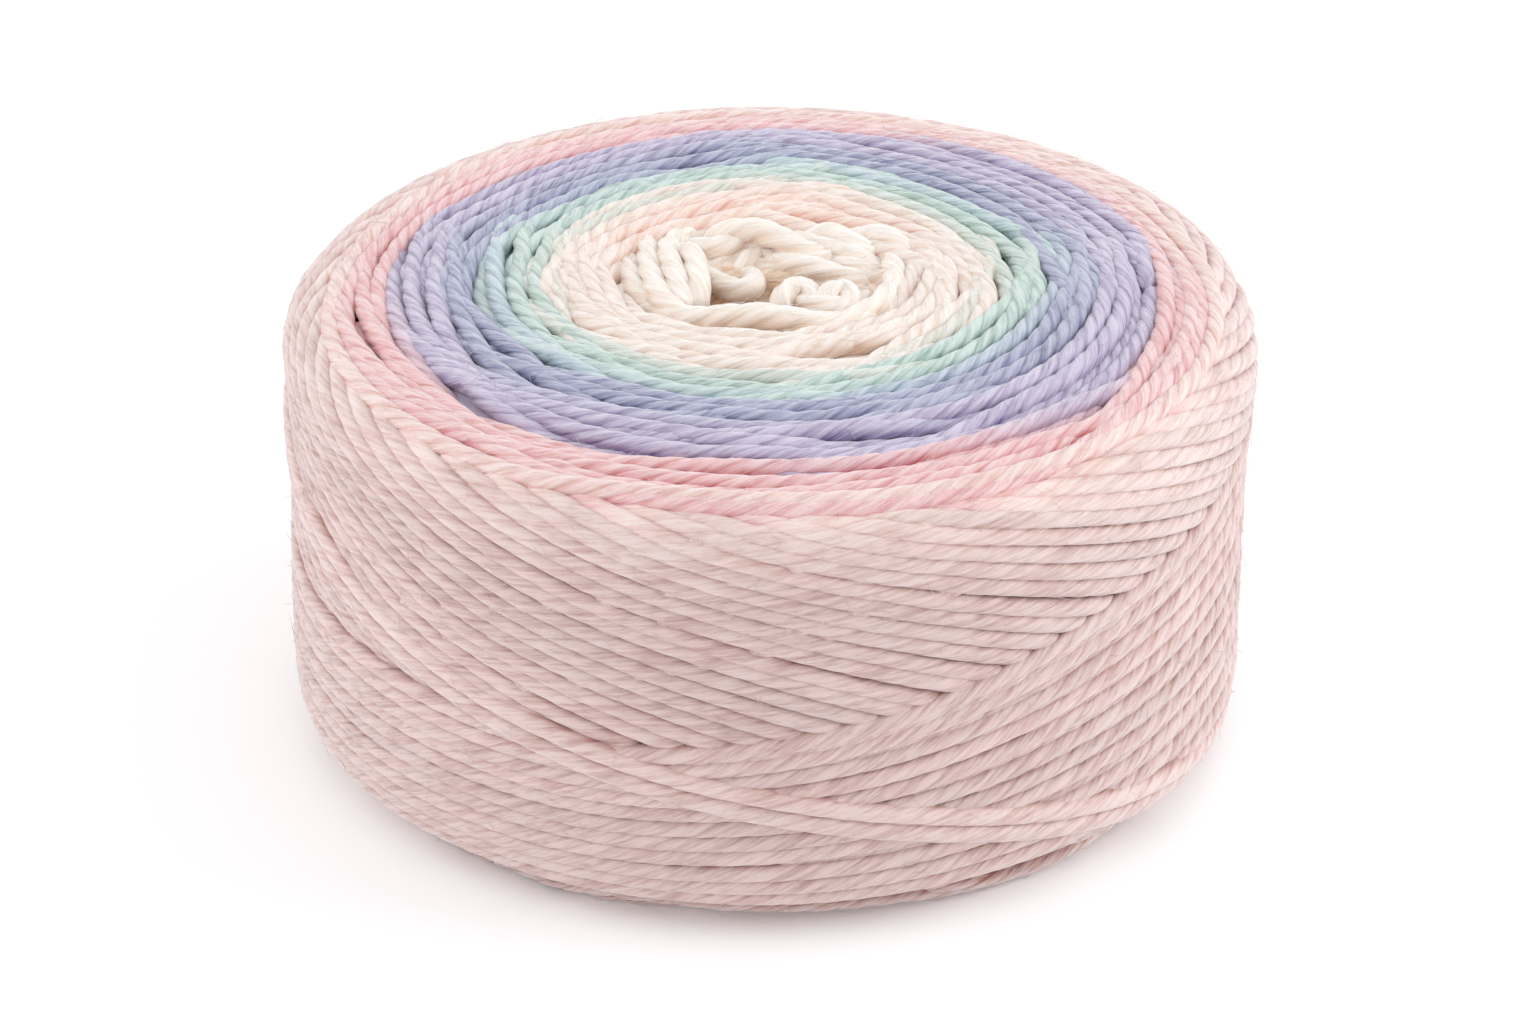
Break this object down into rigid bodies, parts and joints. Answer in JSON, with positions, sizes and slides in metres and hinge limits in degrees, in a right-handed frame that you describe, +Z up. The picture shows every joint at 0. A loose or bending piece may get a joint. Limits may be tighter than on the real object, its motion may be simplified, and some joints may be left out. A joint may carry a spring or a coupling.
{
  "type": "yarn cake",
  "caption": "Low drum of plied yarn wound on itself, with pastel bands on its crowned top, rounded rims, leaning turns round its side and a slumped well at its centre.",
  "frame": {"origin": "centre of the flat base that the cake rests on", "axes": "+Z up along the winding axis, -Y towards the front of the picture, +X to the right seen from the front"},
  "size_m": [0.1502, 0.1502, 0.0747],
  "materials": {
    "yarn": "soft matt plied yarn, dyed in long pastel runs: cream, mint, periwinkle, lavender, salmon pink and pale dusty pink"
  },
  "bodies": {
    "root": {"yarn_cake": "yarn"}
  },
  "joints": []
}
